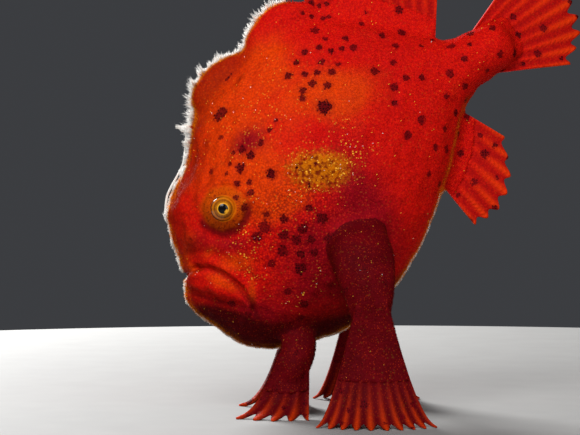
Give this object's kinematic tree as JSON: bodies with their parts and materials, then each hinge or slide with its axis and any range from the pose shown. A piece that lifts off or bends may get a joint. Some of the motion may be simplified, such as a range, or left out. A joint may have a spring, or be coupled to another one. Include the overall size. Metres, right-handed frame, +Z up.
{
  "type": "frogfish",
  "caption": "Life-size still model of a red painted frogfish that stands head down on its arm-like fins, with a fuzzy spotted skin and a lure laid back over its brow.",
  "frame": {"origin": "on the floor, under the middle of the fish's bounding box", "axes": "+Z up from the floor the fish stands on, -X ahead of its snout, -Y out of its left side"},
  "size_m": [0.138, 0.1038, 0.155],
  "materials": {
    "skin": "moist red-orange skin with dark spots and a short fuzz of spinules",
    "fin": "crimson fin membrane over raised rays",
    "lure": "pale soft rod and lure",
    "eye": "wet glossy eye with a golden ringed iris and a black pupil"
  },
  "bodies": {
    "root": {"head": "skin", "lower_jaw": "skin", "trunk": "skin", "tail_stem": "skin", "second_dorsal_spine": "skin", "third_dorsal_spine": "skin", "arm_left": "skin", "arm_right": "skin", "dorsal_fin": "fin", "anal_fin": "fin", "caudal_fin": "fin", "pectoral_fin_left": "fin", "pectoral_fin_right": "fin", "pelvic_fin_left": "fin", "pelvic_fin_right": "fin", "illicium": "lure", "esca": "lure", "eye_left": "eye", "eye_right": "eye"}
  },
  "joints": []
}
